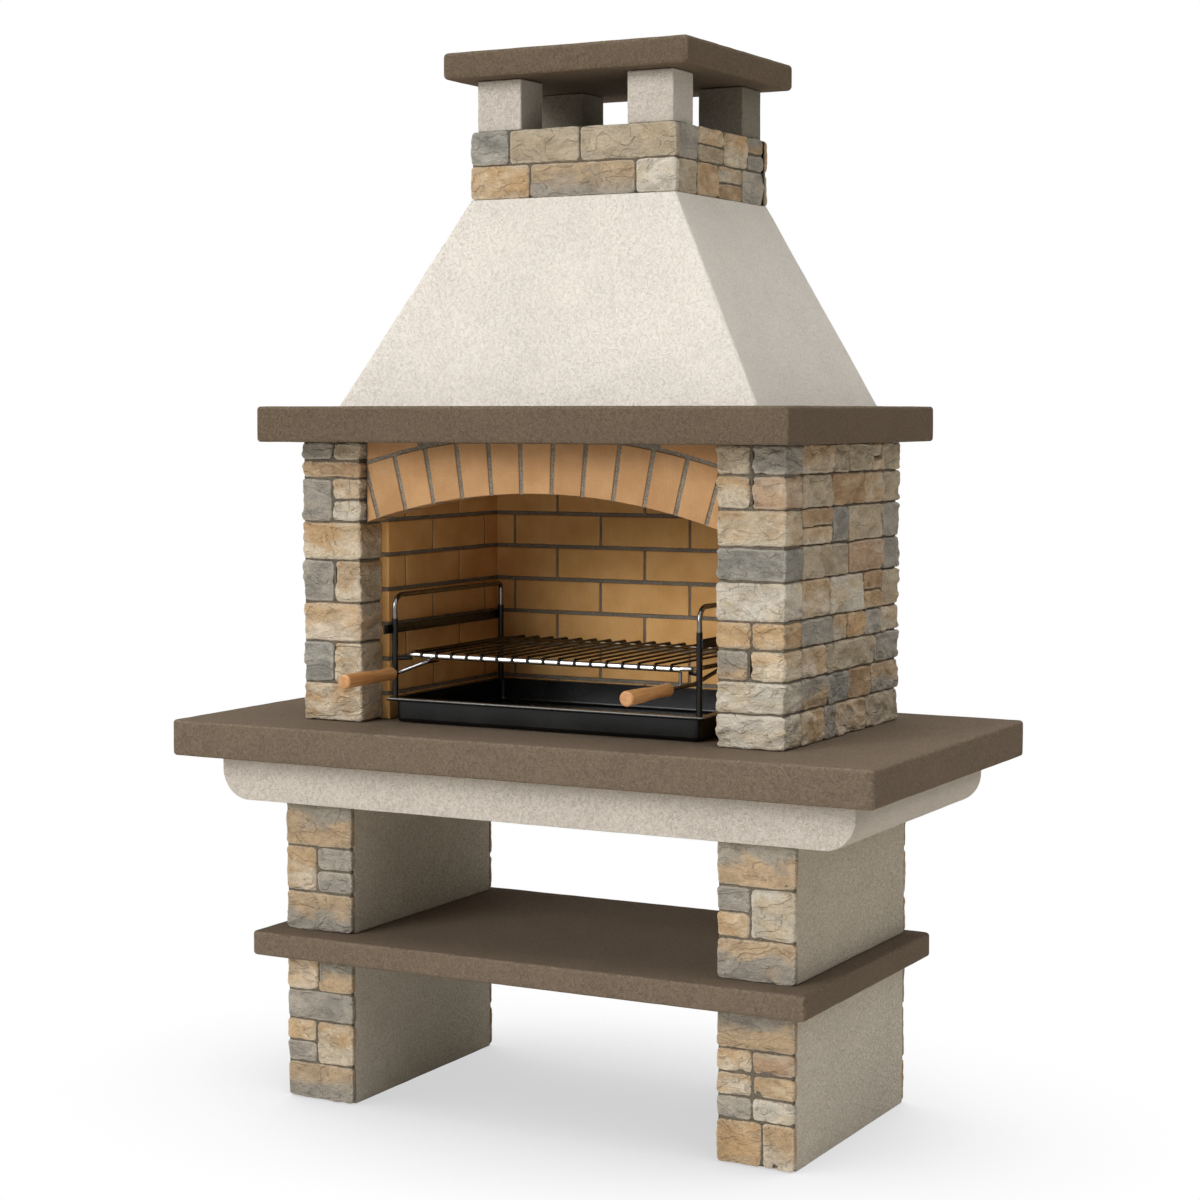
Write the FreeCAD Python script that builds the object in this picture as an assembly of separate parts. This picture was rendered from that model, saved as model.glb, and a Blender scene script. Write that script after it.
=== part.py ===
"""Free-standing masonry fireplace grill: stone legs, shelf, worktop, firebox, hood and chimney,
with a steel fire tray on the hearth and a lift-out wire grid above it.

Millimetres, +Z up, front towards -Y, origin on the floor under the middle of the whole object.
"""
import FreeCAD
import Part
import math
import os

from FreeCAD import Vector

# Heights, from the floor upwards
lower_leg_height = 328.0
shelf_thickness = 54.0
upper_leg_height = 280.0
support_fascia = 33.0
support_round = 75.0
worktop_thickness = 80.0
wall_height = 613.0
mantel_thickness = 78.0
hood_height = 447.0
collar_height = 147.0
block_height = 111.0
cap_thickness = 59.0

# Firebox walls
firebox_width = 854.0
wall_thickness = 156.0
wall_depth = 618.0
quoin_depth = 84.0
side_stone_depth = 25.0
lining_proud = 18.0
back_core_thickness = 36.0

# Slabs, measured as overhangs and insets from what carries them
worktop_side_overhang = 251.5
worktop_front_overhang = 149.0
worktop_back_overhang = 122.0
support_side_inset = 73.5
support_front_inset = 91.0
support_back_inset = 74.0
shelf_side_overhang = 49.5
shelf_depth = 704.0
shelf_front_inset = 61.0
mantel_side_overhang = 48.0
mantel_front_overhang = 100.0
mantel_back_overhang = 78.0
throat_ledge = 30.0
slab_edge_radius = 7.0
slab_corner_radius = 15.0
cap_edge_radius = 10.0

# Legs
leg_setout = 16.5
leg_thickness = 174.0
leg_depth = 608.0
leg_front_inset = 66.0
leg_front_stone_depth = 15.0
leg_back_stone_depth = 12.0
foot_clearance = 2.0

# Hood and chimney
hood_side_inset = 126.0
hood_front_inset = 131.0
hood_back_inset = 14.0
hood_wall = 45.0
hood_edge_radius = 8.0
collar_width = 501.0
collar_depth = 464.0
collar_front_setback = 143.0
collar_wall = 105.0
collar_stone_depth = 14.0
block_width = 110.0
block_depth = 97.0
block_inset = 12.0
left_back_block_setin = 60.0
block_edge_radius = 4.0
cap_side_overhang = 46.5
cap_front_overhang = 40.0
cap_back_overhang = 34.0

# Stone and brick laying
stone_joint = 5.0
stone_bevel = 6.0
small_bevel = 4.0
mortar_recess = 3.0
brick_length = 225.0
brick_height = 69.0
brick_thickness = 31.0
head_joint = 5.0
bed_joint = 8.0
first_course = 53.0
least_brick = 16.0
back_bond_start = -15.0
side_bond_start = 385.0

# Arch over the fire
arch_setback = 23.0
arch_rise = 68.0
arch_crown_drop = 107.0
arch_ring = 120.0
voussoir_width = 65.0
arch_joint = 8.0
springer_joint = 3.0
spandrel_tip = 8.0

# Fire tray
tray_side_clearance = 22.5
tray_back_clearance = 30.5
tray_front_setback = 31.5
tray_height = 55.0
tray_wall = 3.0
tray_rim = 16.0
tray_rim_thickness = 7.0
tray_rim_round = 3.0
tray_rim_corner = 8.0
tray_corner_radius = 14.0
tray_bottom_round = 10.0

# Side frames that stand on the tray's rim
post_diameter = 13.0
post_height = 173.0
post_rim_offset = 5.2
peg_diameter = 8.0
peg_overhang = 7.0
rail_diameter = 11.0
rail_socket = 30.0
rail_rise = 51.0
rail_front_bend = 28.0
rail_back_bend = 12.0
bar_height = 20.0
bar_thickness = 4.0
bar_drop = 13.0
left_bar_front_reach = 32.0
right_bar_front_reach = 5.0
bar_back_reach = 9.0

# Wire grid
grid_level = 150.0
grid_rod = 10.0
grid_post_clearance = 5.5
grid_end_inset = 9.0
grid_corner_radius = 28.0
front_bar = 13.0
front_bar_drop = 1.2
front_bar_left_inset = 47.0
front_bar_right_inset = 29.0
wire_diameter = 5.0
wire_pitch = 38.0
wire_hook = 6.0

# Lifting handles
handle_rod = 9.0
left_grip_inset = 5.0
right_grip_inset = 31.0
front_weld_inset = 69.0
handle_drop = 38.0
handle_reach = 53.0
handle_straight = 13.0
handle_weld_lead = 16.0
handle_tail = 28.0
handle_bend = 14.0
side_rod_run = 70.0
side_rod_rise = 60.0
hanger_rod = 7.0
rod_in_grip = 80.0
grip_length = 190.0
grip_radius = 15.8
grip_swell = 14.8
grip_swell_at = 114.0
grip_waist = 12.8
grip_waist_at = 46.0
grip_shoulder = 12.8
grip_shoulder_at = 3.2
grip_bulb = 14.2
grip_bulb_at = 9.5
grip_end_round = 5.0
ferrule_length = 8.0
ferrule_radius = 8.0

# Clearances
fit_gap = 0.1
seat_gap = 0.3

# Courses of stone, top to bottom: height, then widths from left to right as seen from outside.
# A pair (width, rows) is a column of that many stones in the course.
left_pillar_courses = [
    (41, [83, 73]),
    (38, [156]),
    (95, [80, (76, 2)]),
    (84, [156]),
    (93, [85, 71]),
    (86, [156]),
    (91, [82, 74]),
    (84, [156]),
]
right_pillar_courses = [
    (61, [78, 78]),
    (69, [78, 78]),
    (76, [156]),
    (69, [156]),
    (81, [156]),
    (56, [81, 75]),
    (64, [74, 82]),
    (66, [156]),
    (71, [156]),
]
right_side_courses = [
    (61, [150, 72, 118, (42, 2), 92]),
    (69, [138, 150, 92, 80]),
    (76, [(140, 2), 72, 168, 82]),
    (69, [224, 170, 84]),
    (81, [128, 160, (92, 2), 82]),
    (56, [150, 70, 88, 84, 92]),
    (64, [116, 34, 200, 118]),
    (66, [124, 98, 112, 140]),
    (71, [108, 58, 150, 168]),
]
left_side_courses = [
    (79, [86, 150, (96, 2), 164]),
    (95, [132, 88, 180, 96]),
    (84, [178, 110, 150, 78]),
    (93, [(118, 2), 160, 84, 134]),
    (86, [92, 190, 120, 94]),
    (91, [150, 74, (130, 2), 142]),
    (84, [112, 168, 90, 128]),
]
left_upper_leg_courses = [
    (92, [174]),
    (102, [82, (92, 2)]),
    (86, [174]),
]
left_lower_leg_courses = [
    (82, [84, 90]),
    (68, [174]),
    (96, [(78, 2), 96]),
    (82, [174]),
]
right_upper_leg_courses = [
    (88, [174]),
    (106, [(75, 2), 99]),
    (86, [174]),
]
right_lower_leg_courses = [
    (88, [174]),
    (146, [(80, 3), (94, 3)]),
    (94, [102, 72]),
]
leg_back_courses = [
    (92, [80, 94]),
    (104, [174]),
    (84, [98, 76]),
]
collar_front_courses = [
    (74, [99, 180, 237]),
    (73, [153, 263, 100]),
]
collar_side_courses = [
    (74, [82, (112, 2), 104, (70, 2)]),
    (73, [78, 92, (104, 2), 94]),
]
collar_back_courses = [
    (74, [150, 120, 246]),
    (73, [210, 176, 130]),
]

# Levels
shelf_bottom = lower_leg_height
shelf_top = shelf_bottom + shelf_thickness
support_bottom = shelf_top + upper_leg_height
worktop_bottom = support_bottom + support_fascia + support_round
hearth = worktop_bottom + worktop_thickness
mantel_bottom = hearth + wall_height
hood_bottom = mantel_bottom + mantel_thickness
collar_bottom = hood_bottom + hood_height
blocks_bottom = collar_bottom + collar_height
cap_bottom = blocks_bottom + block_height

# Places across the firebox, as half widths
pillar_inner = firebox_width / 2
pillar_outer = pillar_inner + wall_thickness
lining_face = pillar_inner - lining_proud
core_inner = lining_face + brick_thickness
core_outer = pillar_outer - side_stone_depth
leg_inner = pillar_inner + leg_setout
leg_outer = leg_inner + leg_thickness
rim_half = lining_face - tray_side_clearance
pan_half = rim_half - tray_rim
corner_step = (tray_corner_radius + post_rim_offset) * math.sqrt(0.5)
post_x = pan_half - tray_corner_radius + corner_step
grid_half = post_x - post_diameter / 2 - grid_post_clearance - grid_rod / 2

# Depths behind the wall's front face, then the face's own place that centres the object on the origin
pan_front_setback = tray_front_setback + tray_rim
post_front_setback = pan_front_setback + tray_corner_radius - corner_step
grid_front_setback = post_front_setback + grid_end_inset
grip_front_setback = grid_front_setback - handle_reach - grip_length
wall_front = -(grip_front_setback + wall_depth + worktop_back_overhang) / 2

# Places from front to back
wall_back = wall_front + wall_depth
quoin_back = wall_front + quoin_depth
lining_back_face = wall_back - back_core_thickness - brick_thickness
lining_end = wall_back - back_core_thickness
worktop_front = wall_front - worktop_front_overhang
worktop_back = wall_back + worktop_back_overhang
support_front = worktop_front + support_front_inset
support_back = worktop_back - support_back_inset
shelf_front = worktop_front + shelf_front_inset
leg_front = shelf_front + leg_front_inset
leg_back = leg_front + leg_depth
mantel_front = wall_front - mantel_front_overhang
mantel_back = wall_back + mantel_back_overhang
hood_front = mantel_front + hood_front_inset
hood_back = mantel_back - hood_back_inset
collar_front = hood_front + collar_front_setback
collar_back = collar_front + collar_depth
arch_front = wall_front + arch_setback
rim_front = wall_front + tray_front_setback
rim_back = lining_back_face - tray_back_clearance
post_front = wall_front + post_front_setback
post_back = rim_back - tray_rim - tray_corner_radius + corner_step
grid_front = wall_front + grid_front_setback
grid_back = post_back - grid_end_inset
grip_rear = grid_front - handle_reach

# Heights of the fire tray and the grid
tray_top = hearth + tray_height
post_top = tray_top + post_height
rail_top = post_top + rail_rise
grid_z = hearth + grid_level
peg_z = grid_z - grid_rod / 2 - seat_gap - peg_diameter / 2
front_bar_z = grid_z - front_bar_drop
hanger_top = front_bar_z - front_bar / 2 - fit_gap
front_weld_z = hanger_top - handle_rod / 2
side_weld_z = grid_z - grid_rod / 2 - fit_gap - handle_rod / 2
grip_z = grid_z - handle_drop


def box(x0, x1, y0, y1, z0, z1):
    return Part.makeBox(x1 - x0, y1 - y0, z1 - z0, Vector(x0, y0, z0))


def slab(x0, x1, y0, y1, z0, z1, radius):
    """Cast slab with every edge rounded."""
    block = box(x0, x1, y0, y1, z0, z1)
    return block.makeFillet(radius, block.Edges)


def mirrored(shape):
    return shape.mirror(Vector(0, 0, 0), Vector(1, 0, 0))


def group(shapes):
    return Part.makeCompound(shapes)


def polygon(points):
    return Part.makePolygon(points + points[:1])


def bent_path(points, bends):
    """Straight runs between the points, with a tangent arc of each bend's radius at the inner points."""
    edges = []
    start = points[0]
    for corner, after, radius in zip(points[1:-1], points[2:], bends):
        inward = (start - corner).normalize()
        onward = (after - corner).normalize()
        half_turn = (math.pi - inward.getAngle(onward)) / 2
        reach = radius * math.tan(half_turn)
        bisector = (inward + onward).normalize()
        middle = corner + bisector * (radius / math.cos(half_turn) - radius)
        arc_start = corner + inward * reach
        arc_end = corner + onward * reach
        edges.append(Part.LineSegment(start, arc_start).toShape())
        edges.append(Part.Arc(arc_start, middle, arc_end).toShape())
        start = arc_end
    edges.append(Part.LineSegment(start, points[-1]).toShape())
    return Part.Wire(edges)


def round_bar(path, direction, diameter):
    """Round bar along a path that starts in the given direction."""
    start = path.OrderedVertexes[0].Point
    section = Part.Wire(Part.makeCircle(diameter / 2, start, direction))
    return path.makePipeShell([section], True, False)


def rounded_prism(half_width, front, back, radius, bottom, top):
    """Upright prism on a rectangle with rounded corners, centred on X."""
    block = box(-half_width, half_width, front, back, bottom, top)
    upright = [edge for edge in block.Edges if abs(edge.tangentAt(edge.FirstParameter).z) > 0.5]
    return block.makeFillet(radius, upright)


def edges_at(shape, level):
    """Edges that lie wholly at one height."""
    return [edge for edge in shape.Edges if abs(edge.BoundBox.ZMin - level) < fit_gap
            and abs(edge.BoundBox.ZMax - level) < fit_gap]


def cornered_slab(half_width, front, back, bottom, top):
    """Cast slab with broadly rounded upright corners and finely rounded edges."""
    block = rounded_prism(half_width, front, back, slab_corner_radius, bottom, top)
    return block.makeFillet(slab_edge_radius, edges_at(block, bottom) + edges_at(block, top))


def clear_of_joints(low, high, start, end):
    """One side of a stone, shortened by half a joint where it meets another stone."""
    half = stone_joint / 2
    if low > start + half:
        low += half
    if high < end - half:
        high -= half
    return low, high


def stone_cells(courses, left, right, bottom, top):
    """Rectangles (left, right, bottom, top) of a panel's stones, with a joint between neighbours."""
    cells = []
    tall = (top - bottom) / sum(height for height, widths in courses)
    level = top
    for height, widths in courses:
        floor = level - height * tall
        columns = [entry if isinstance(entry, tuple) else (entry, 1) for entry in widths]
        wide = (right - left) / sum(width for width, rows in columns)
        place = left
        for width, rows in columns:
            step = (level - floor) / rows
            for row in range(rows):
                across = clear_of_joints(place, place + width * wide, left, right)
                upright = clear_of_joints(level - (row + 1) * step, level - row * step, bottom, top)
                cells.append(across + upright)
            place += width * wide
        level = floor
    return cells


def slip_stone(cell, depth, bevel, place):
    """Facing stone with a bevelled front, on the surface that place(u, height, out) describes."""
    u0, u1, z0, z1 = cell
    rings = []
    for out, inset in ((0, 0), (depth - bevel, 0), (depth, bevel)):
        corners = [(u0 + inset, z0 + inset), (u1 - inset, z0 + inset),
                   (u1 - inset, z1 - inset), (u0 + inset, z1 - inset)]
        rings.append(polygon([place(u, z, out) for u, z in corners]))
    return Part.makeLoft(rings, True, True)


def facing(cells, depth, bevel, place):
    return [slip_stone(cell, depth, bevel, place) for cell in cells]


def quoin(cell):
    """Corner block of a pillar, bevelled where it shows and flat at the back."""
    x0, x1, z0, z1 = cell
    rings = []
    for z, inset in ((z0, stone_bevel), (z0 + stone_bevel, 0), (z1 - stone_bevel, 0), (z1, stone_bevel)):
        left = x0 + inset
        right = x1 - inset
        front = wall_front + inset
        points = [(left, quoin_back), (left, front + stone_bevel), (left + stone_bevel, front),
                  (right - stone_bevel, front), (right, front + stone_bevel), (right, quoin_back)]
        rings.append(polygon([Vector(x, y, z) for x, y in points]))
    return Part.makeLoft(rings, True, True)


def pillar(courses, left, right):
    """Corner blocks of one pillar, and the pointing between them."""
    blocks = [quoin(cell) for cell in stone_cells(courses, left, right, hearth, mantel_bottom)]
    bed = box(left + stone_bevel, right - stone_bevel, wall_front + stone_bevel, quoin_back,
              hearth, mantel_bottom)
    return group(blocks), bed.cut(blocks)


def legs():
    """Concrete leg cores with facing stones, left and right, below and above the shelf."""
    shapes = {}
    core_front = leg_front + leg_front_stone_depth
    core_back = leg_back - leg_back_stone_depth
    support = worktop_support()
    tuck = support_fascia

    def front_place(u, z, out):
        return Vector(u, core_front - out, z)

    def back_place(u, z, out):
        return Vector(u, core_back + out, z)

    def leg(name, left, right, courses, bottom, top, foot, rise):
        """One leg. An upper leg rises into the hollow of the moulding and is cut to it."""
        core = box(left, right, core_front, core_back, bottom, top + rise)
        front_cells = stone_cells(courses, left, right, bottom + foot, top)
        raised = [cell[:3] + (top + rise,) if cell[3] == top else cell for cell in front_cells]
        front_stones = facing(raised, leg_front_stone_depth, small_bevel, front_place)
        back_cells = stone_cells(leg_back_courses, left, right, bottom + foot, top)
        back_stones = facing(back_cells, leg_back_stone_depth, small_bevel, back_place)
        if rise:
            core = core.cut(support)
            front_stones = [stone.cut(support) for stone in front_stones]
        shapes[name] = core
        shapes[name + "_stones"] = group(front_stones + back_stones)

    sides = (("left", -leg_outer, -leg_inner, left_lower_leg_courses, left_upper_leg_courses),
             ("right", leg_inner, leg_outer, right_lower_leg_courses, right_upper_leg_courses))
    for side, left, right, lower_courses, upper_courses in sides:
        leg(side + "_lower_leg", left, right, lower_courses, 0, shelf_bottom, foot_clearance, 0)
        leg(side + "_upper_leg", left, right, upper_courses, shelf_top, support_bottom, 0, tuck)
    return shapes


def worktop_support():
    """Moulding under the worktop: a plain fascia over a quarter round, on the front and both ends."""
    half = pillar_outer + worktop_side_overhang - support_side_inset
    fascia = support_bottom + support_round
    lean = math.sqrt(0.5) * support_round

    def quarter(edge, inward, at):
        """Fascia foot to soffit edge, round about a centre level with the foot."""
        middle_in = edge + inward * (support_round - lean)
        return Part.Arc(at(edge, fascia), at(middle_in, fascia - lean),
                        at(edge + inward * support_round, support_bottom)).toShape()

    def across(u, z):
        return Vector(u, support_front, z)

    def along(u, z):
        return Vector(-half, u, z)

    ends = Part.Wire([
        Part.LineSegment(across(half, worktop_bottom), across(-half, worktop_bottom)).toShape(),
        Part.LineSegment(across(-half, worktop_bottom), across(-half, fascia)).toShape(),
        quarter(-half, 1, across),
        Part.LineSegment(across(support_round - half, support_bottom),
                         across(half - support_round, support_bottom)).toShape(),
        quarter(half, -1, across).reversed(),
        Part.LineSegment(across(half, fascia), across(half, worktop_bottom)).toShape(),
    ])
    face = Part.Wire([
        Part.LineSegment(along(support_back, worktop_bottom),
                         along(support_front, worktop_bottom)).toShape(),
        Part.LineSegment(along(support_front, worktop_bottom), along(support_front, fascia)).toShape(),
        quarter(support_front, 1, along),
        Part.LineSegment(along(support_front + support_round, support_bottom),
                         along(support_back, support_bottom)).toShape(),
        Part.LineSegment(along(support_back, support_bottom), along(support_back, worktop_bottom)).toShape(),
    ])
    lengthwise = Part.Face(ends).extrude(Vector(0, support_back - support_front, 0))
    crosswise = Part.Face(face).extrude(Vector(2 * half, 0, 0))
    return lengthwise.common(crosswise).removeSplitter()


def slabs():
    """The shelf, the worktop and the mantel, which is open over the fire."""
    shelf_half = leg_outer + shelf_side_overhang
    shelf = cornered_slab(shelf_half, shelf_front, shelf_front + shelf_depth, shelf_bottom, shelf_top)
    worktop_half = pillar_outer + worktop_side_overhang
    worktop = cornered_slab(worktop_half, worktop_front, worktop_back, worktop_bottom, hearth)
    mantel_half = pillar_outer + mantel_side_overhang
    mantel = slab(-mantel_half, mantel_half, mantel_front, mantel_back,
                  mantel_bottom, hood_bottom, slab_edge_radius)
    throat_half = lining_face - throat_ledge
    throat = box(-throat_half, throat_half, quoin_back + throat_ledge, lining_back_face - throat_ledge,
                 mantel_bottom, hood_bottom)
    return {"lower_shelf": shelf, "worktop": worktop, "mantel": mantel.cut(throat)}


def walls():
    """Concrete cores of the firebox, faced outside with stone."""
    right_core = box(core_inner, core_outer, quoin_back, wall_back, hearth, mantel_bottom)
    back_core = box(-core_inner, core_inner, lining_end, wall_back, hearth, mantel_bottom)
    side_front = quoin_back + stone_joint
    right_cells = stone_cells(right_side_courses, side_front, wall_back, hearth, mantel_bottom)
    right_side = facing(right_cells, side_stone_depth, stone_bevel,
                        lambda u, z, out: Vector(core_outer + out, u, z))
    left_cells = stone_cells(left_side_courses, -wall_back, -side_front, hearth, mantel_bottom)
    left_side = facing(left_cells, side_stone_depth, stone_bevel,
                       lambda u, z, out: Vector(-core_outer - out, -u, z))
    left_blocks, left_pointing = pillar(left_pillar_courses, -pillar_outer, -pillar_inner)
    right_blocks, right_pointing = pillar(right_pillar_courses, pillar_inner, pillar_outer)
    return {
        "left_wall": mirrored(right_core),
        "right_wall": right_core,
        "back_wall": back_core,
        "left_side_stones": group(left_side),
        "right_side_stones": group(right_side),
        "left_pillar_stones": left_blocks,
        "right_pillar_stones": right_blocks,
        "left_pillar_pointing": left_pointing,
        "right_pillar_pointing": right_pointing,
    }


def running_bond(start, end, first_joint):
    """Bricks (start, end, bottom, top) of a lining in half bond, cut where the panel ends."""
    bricks = []
    pitch = brick_length + head_joint
    bottom = hearth
    top = hearth + first_course
    course = 0
    while mantel_bottom - bottom > least_brick:
        joint = first_joint + (course % 2) * pitch / 2
        edge = joint - pitch * math.ceil((joint - start) / pitch)
        while edge < end:
            left = max(edge + head_joint / 2, start)
            right = min(edge + pitch - head_joint / 2, end)
            if right - left > least_brick:
                bricks.append((left, right, bottom, min(top, mantel_bottom)))
            edge += pitch
        bottom = top + bed_joint
        top = bottom + brick_height
        course += 1
    return bricks


def lining():
    """Firebrick lining on the back and sides of the fire, in recessed mortar."""
    back_cells = running_bond(-lining_face, lining_face, back_bond_start)
    back_bricks = [box(u0, u1, lining_back_face, lining_end, z0, z1) for u0, u1, z0, z1 in back_cells]
    back_bed = box(-lining_face, lining_face, lining_back_face + mortar_recess, lining_end,
                   hearth, mantel_bottom)
    side_cells = running_bond(quoin_back, lining_end, wall_front + side_bond_start)
    side_bricks = [box(lining_face, core_inner, u0, u1, z0, z1) for u0, u1, z0, z1 in side_cells]
    side_bed = box(lining_face + mortar_recess, core_inner, quoin_back, lining_end, hearth, mantel_bottom)
    side_mortar = side_bed.cut(side_bricks)
    return {
        "back_lining_bricks": group(back_bricks),
        "back_lining_mortar": back_bed.cut(back_bricks),
        "right_lining_bricks": group(side_bricks),
        "right_lining_mortar": side_mortar,
        "left_lining_bricks": group([mirrored(brick) for brick in side_bricks]),
        "left_lining_mortar": mirrored(side_mortar),
    }


def arch():
    """Flat segmental arch of cut bricks between the pillars, trimmed by the mantel."""
    inner_radius = (arch_rise ** 2 + pillar_inner ** 2) / (2 * arch_rise)
    outer_radius = inner_radius + arch_ring
    centre_z = mantel_bottom - arch_crown_drop - inner_radius
    centre = Vector(0, arch_front, centre_z)
    thickness = quoin_back - arch_front
    along = Vector(0, thickness, 0)
    opening = box(-pillar_inner, pillar_inner, arch_front, quoin_back, hearth, mantel_bottom)

    def ring_point(angle, radius):
        return centre + Vector(math.sin(angle), 0, math.cos(angle)) * radius

    def ring_brick(angle, half_angle, room):
        low, high = angle - half_angle, angle + half_angle
        edges = [
            Part.Arc(ring_point(low, inner_radius), ring_point(angle, inner_radius),
                     ring_point(high, inner_radius)).toShape(),
            Part.LineSegment(ring_point(high, inner_radius), ring_point(high, outer_radius)).toShape(),
            Part.Arc(ring_point(high, outer_radius), ring_point(angle, outer_radius),
                     ring_point(low, outer_radius)).toShape(),
            Part.LineSegment(ring_point(low, outer_radius), ring_point(low, inner_radius)).toShape(),
        ]
        return Part.Face(Part.Wire(edges)).extrude(along).common(room)

    pitch = (voussoir_width + arch_joint) / inner_radius
    half_angle = voussoir_width / 2 / inner_radius
    each_side = int((math.asin(pillar_inner / inner_radius) - half_angle) / pitch)
    bricks = [ring_brick(step * pitch, half_angle, opening) for step in range(-each_side, each_side + 1)]
    springer_room = box(springer_joint - pillar_inner, pillar_inner - springer_joint, arch_front, quoin_back,
                        hearth, mantel_bottom)
    springer = ring_brick((each_side + 1) * pitch, half_angle, springer_room)
    bricks += [springer, mirrored(springer)]

    def disc(radius):
        return Part.makeCylinder(radius, thickness, centre, Vector(0, 1, 0))

    tip_radius = outer_radius + arch_joint
    tip_z = mantel_bottom - spandrel_tip - centre_z
    tip_x = math.sqrt(tip_radius ** 2 - tip_z ** 2)
    corner = box(tip_x, pillar_inner - stone_joint, arch_front, quoin_back,
                 mantel_bottom - arch_ring, mantel_bottom)
    spandrel = corner.cut(disc(tip_radius))
    panel = opening.cut(disc(inner_radius))
    face_back = box(-pillar_inner, pillar_inner, arch_front, arch_front + mortar_recess,
                    hearth, mantel_bottom)
    spandrels = [spandrel, mirrored(spandrel)]
    return {
        "arch_bricks": group(bricks),
        "spandrel_bricks": group(spandrels),
        "arch_mortar": panel.cut([face_back] + bricks + spandrels),
    }


def frustum(base_half, base_front, base_back, top_half, top_front, top_back):
    base = [Vector(-base_half, base_front, hood_bottom), Vector(base_half, base_front, hood_bottom),
            Vector(base_half, base_back, hood_bottom), Vector(-base_half, base_back, hood_bottom)]
    top = [Vector(-top_half, top_front, collar_bottom), Vector(top_half, top_front, collar_bottom),
           Vector(top_half, top_back, collar_bottom), Vector(-top_half, top_back, collar_bottom)]
    return Part.makeLoft([polygon(base), polygon(top)], True, True)


def hood():
    """Hollow tapering smoke hood with softened hips."""
    base_half = pillar_outer + mantel_side_overhang - hood_side_inset
    top_half = collar_width / 2
    outer = frustum(base_half, hood_front, hood_back, top_half, collar_front, collar_back)
    hips = [edge for edge in outer.Edges if edge.BoundBox.ZLength > hood_height / 2]
    inner = frustum(base_half - hood_wall, hood_front + hood_wall, hood_back - hood_wall,
                    top_half - hood_wall, collar_front + hood_wall, collar_back - hood_wall)
    return outer.makeFillet(hood_edge_radius, hips).cut(inner)


def chimney():
    """Stone-faced collar round the flue, four corner blocks and the cap that they carry."""
    half = collar_width / 2
    core_half = half - collar_stone_depth
    core_front = collar_front + collar_stone_depth
    core_back = collar_back - collar_stone_depth
    core = box(-core_half, core_half, core_front, core_back, collar_bottom, blocks_bottom)
    flue = box(collar_wall - half, half - collar_wall, collar_front + collar_wall, collar_back - collar_wall,
               collar_bottom, blocks_bottom)
    panels = [
        (collar_front_courses, -half, half, lambda u, z, out: Vector(u, core_front - out, z)),
        (collar_back_courses, -half, half, lambda u, z, out: Vector(-u, core_back + out, z)),
        (collar_side_courses, core_front + stone_joint, core_back - stone_joint,
         lambda u, z, out: Vector(core_half + out, u, z)),
        (collar_side_courses, stone_joint - core_back, -core_front - stone_joint,
         lambda u, z, out: Vector(-core_half - out, -u, z)),
    ]
    stones = []
    for courses, left, right, place in panels:
        cells = stone_cells(courses, left, right, collar_bottom, blocks_bottom)
        stones += facing(cells, collar_stone_depth, small_bevel, place)
    shapes = {"chimney_collar": core.cut(flue), "collar_stones": group(stones)}
    outer = half - block_inset
    front_row = collar_front + block_inset
    back_row = collar_back - block_inset - block_depth
    for row, front in (("front", front_row), ("back", back_row)):
        right_block = slab(outer - block_width, outer, front, front + block_depth,
                           blocks_bottom, cap_bottom, block_edge_radius)
        shapes["right_" + row + "_block"] = right_block
        shapes["left_" + row + "_block"] = mirrored(right_block)
    shapes["left_back_block"].translate(Vector(0, -left_back_block_setin, 0))
    cap_half = half + cap_side_overhang
    shapes["chimney_cap"] = slab(-cap_half, cap_half, collar_front - cap_front_overhang,
                                 collar_back + cap_back_overhang, cap_bottom, cap_bottom + cap_thickness,
                                 cap_edge_radius)
    return shapes


def charcoal_tray():
    """Pressed steel pan with a broad rolled rim."""
    pan_front = rim_front + tray_rim
    pan_back = rim_back - tray_rim
    pan = rounded_prism(pan_half, pan_front, pan_back, tray_corner_radius, hearth, tray_top)
    pan = pan.makeFillet(tray_bottom_round, edges_at(pan, hearth))
    floor = hearth + tray_wall
    well = rounded_prism(pan_half - tray_wall, pan_front + tray_wall, pan_back - tray_wall,
                         tray_corner_radius - tray_wall, floor, tray_top)
    well = well.makeFillet(tray_bottom_round - tray_wall, edges_at(well, floor))
    rim_bottom = tray_top - tray_rim_thickness
    rim = rounded_prism(rim_half, rim_front, rim_back, tray_rim_corner, rim_bottom, tray_top)
    rim = rim.makeFillet(tray_rim_round, edges_at(rim, tray_top) + edges_at(rim, rim_bottom))
    return pan.fuse(rim).cut(well).removeSplitter()


def side_post(y, corner_y):
    """Right-hand post: a tube's foot on the rim, a socket for the rail, a peg under the grid's corner."""
    foot = Vector(post_x, y, tray_top)
    up = Vector(0, 0, 1)
    post = Part.makeCylinder(post_diameter / 2, post_height, foot, up)
    socket = Part.makeCylinder(rail_diameter / 2 + fit_gap, rail_socket,
                               Vector(post_x, y, post_top - rail_socket), up)
    lean = math.sqrt(0.5) * grid_corner_radius
    inward = math.copysign(grid_corner_radius - lean, -corner_y)
    rest = Vector(grid_half - grid_corner_radius + lean, corner_y + inward, peg_z)
    root = Vector(post_x, y, peg_z)
    reach = rest - root
    peg = Part.makeCylinder(peg_diameter / 2, reach.Length + peg_overhang, root, reach)
    return post.cut(socket).fuse(peg).removeSplitter()


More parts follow.
